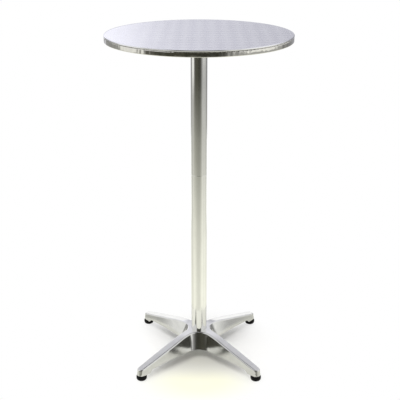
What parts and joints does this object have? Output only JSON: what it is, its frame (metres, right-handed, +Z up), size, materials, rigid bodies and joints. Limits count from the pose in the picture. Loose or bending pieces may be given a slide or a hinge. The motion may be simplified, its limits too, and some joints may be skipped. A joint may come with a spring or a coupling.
{
  "type": "folding bar table",
  "caption": "Round metal-faced bar table on a jointed pole and cast star base; the top tilts upright and is held by a clamp lever, with levelling feet below.",
  "frame": {"origin": "on the floor, under the middle of the pole", "axes": "+Z up along the pole; +X to the right and +Y away from a user who faces the clamp lever's front; the fold's axis lies along X behind the pole"},
  "size_m": [0.6, 0.6, 1.15],
  "materials": {
    "sheet": "satin with a fine polished pattern",
    "band": "polished",
    "board": "raw fibre board",
    "liner": "matt sheet",
    "tube": "polished",
    "casting": "polished casting",
    "zinc": "zinc plated",
    "lever": "zinc plated",
    "nylon": "matt",
    "black_plastic": "matt",
    "rubber": "matt"
  },
  "bodies": {
    "pedestal": {"base_casting": "casting", "lower_tube": "tube", "upper_tube": "tube", "joint_spigot": "casting", "tie_rod": "zinc", "tie_rod_washer": "zinc", "tie_rod_nut": "zinc", "pivot_head": "casting", "rest_bumpers": "rubber"},
    "table_top": {"top_skin": "sheet", "top_core": "board", "rim_band": "band", "underside_liner": "liner", "tilt_plate": "zinc", "plate_screws": "zinc", "hinge_eye_bolt": "zinc", "hinge_lock_nut": "zinc", "hinge_nut_washer": "zinc", "friction_washers": "nylon", "thrust_washer": "nylon", "lever_pin": "zinc"},
    "clamp_lever": {"cam_lever": "lever", "lever_grip": "black_plastic"},
    "stud_fl": {"foot_stud_fl": "zinc"},
    "pad_fl": {"foot_pad_fl": "black_plastic"},
    "stud_fr": {"foot_stud_fr": "zinc"},
    "pad_fr": {"foot_pad_fr": "black_plastic"},
    "stud_rl": {"foot_stud_rl": "zinc"},
    "pad_rl": {"foot_pad_rl": "black_plastic"},
    "stud_rr": {"foot_stud_rr": "zinc"},
    "pad_rr": {"foot_pad_rr": "black_plastic"}
  },
  "joints": [
    {"name": "top_tilt", "type": "hinge", "parent": "pedestal", "child": "table_top", "pos_m": [0, 0.046, 1.1111], "axis": [-1, 0, 0], "range_deg": [0, 90]},
    {"name": "lever_swing", "type": "hinge", "parent": "table_top", "child": "clamp_lever", "pos_m": [0.04115, 0.046, 1.1111], "axis": [0, 0, 1], "range_deg": [0, 120]},
    {"name": "foot_travel_fl", "type": "slide", "parent": "pedestal", "child": "stud_fl", "axis": [0, 0, -1], "range_m": [0, 0.01]},
    {"name": "foot_turn_fl", "type": "hinge", "parent": "stud_fl", "child": "pad_fl", "pos_m": [-0.19658, -0.19658, 0], "axis": [0, 0, -1], "range_deg": [0, 2880]},
    {"name": "foot_travel_fr", "type": "slide", "parent": "pedestal", "child": "stud_fr", "axis": [0, 0, -1], "range_m": [0, 0.01]},
    {"name": "foot_turn_fr", "type": "hinge", "parent": "stud_fr", "child": "pad_fr", "pos_m": [0.19658, -0.19658, 0], "axis": [0, 0, -1], "range_deg": [0, 2880]},
    {"name": "foot_travel_rl", "type": "slide", "parent": "pedestal", "child": "stud_rl", "axis": [0, 0, -1], "range_m": [0, 0.01]},
    {"name": "foot_turn_rl", "type": "hinge", "parent": "stud_rl", "child": "pad_rl", "pos_m": [-0.19658, 0.19658, 0], "axis": [0, 0, -1], "range_deg": [0, 2880]},
    {"name": "foot_travel_rr", "type": "slide", "parent": "pedestal", "child": "stud_rr", "axis": [0, 0, -1], "range_m": [0, 0.01]},
    {"name": "foot_turn_rr", "type": "hinge", "parent": "stud_rr", "child": "pad_rr", "pos_m": [0.19658, 0.19658, 0], "axis": [0, 0, -1], "range_deg": [0, 2880]}
  ],
  "couplings": [
    {"joint": "foot_travel_fl", "follows": "foot_turn_fl", "m_per_rad": 0.00019894},
    {"joint": "foot_travel_fr", "follows": "foot_turn_fr", "m_per_rad": 0.00019894},
    {"joint": "foot_travel_rl", "follows": "foot_turn_rl", "m_per_rad": 0.00019894},
    {"joint": "foot_travel_rr", "follows": "foot_turn_rr", "m_per_rad": 0.00019894}
  ]
}
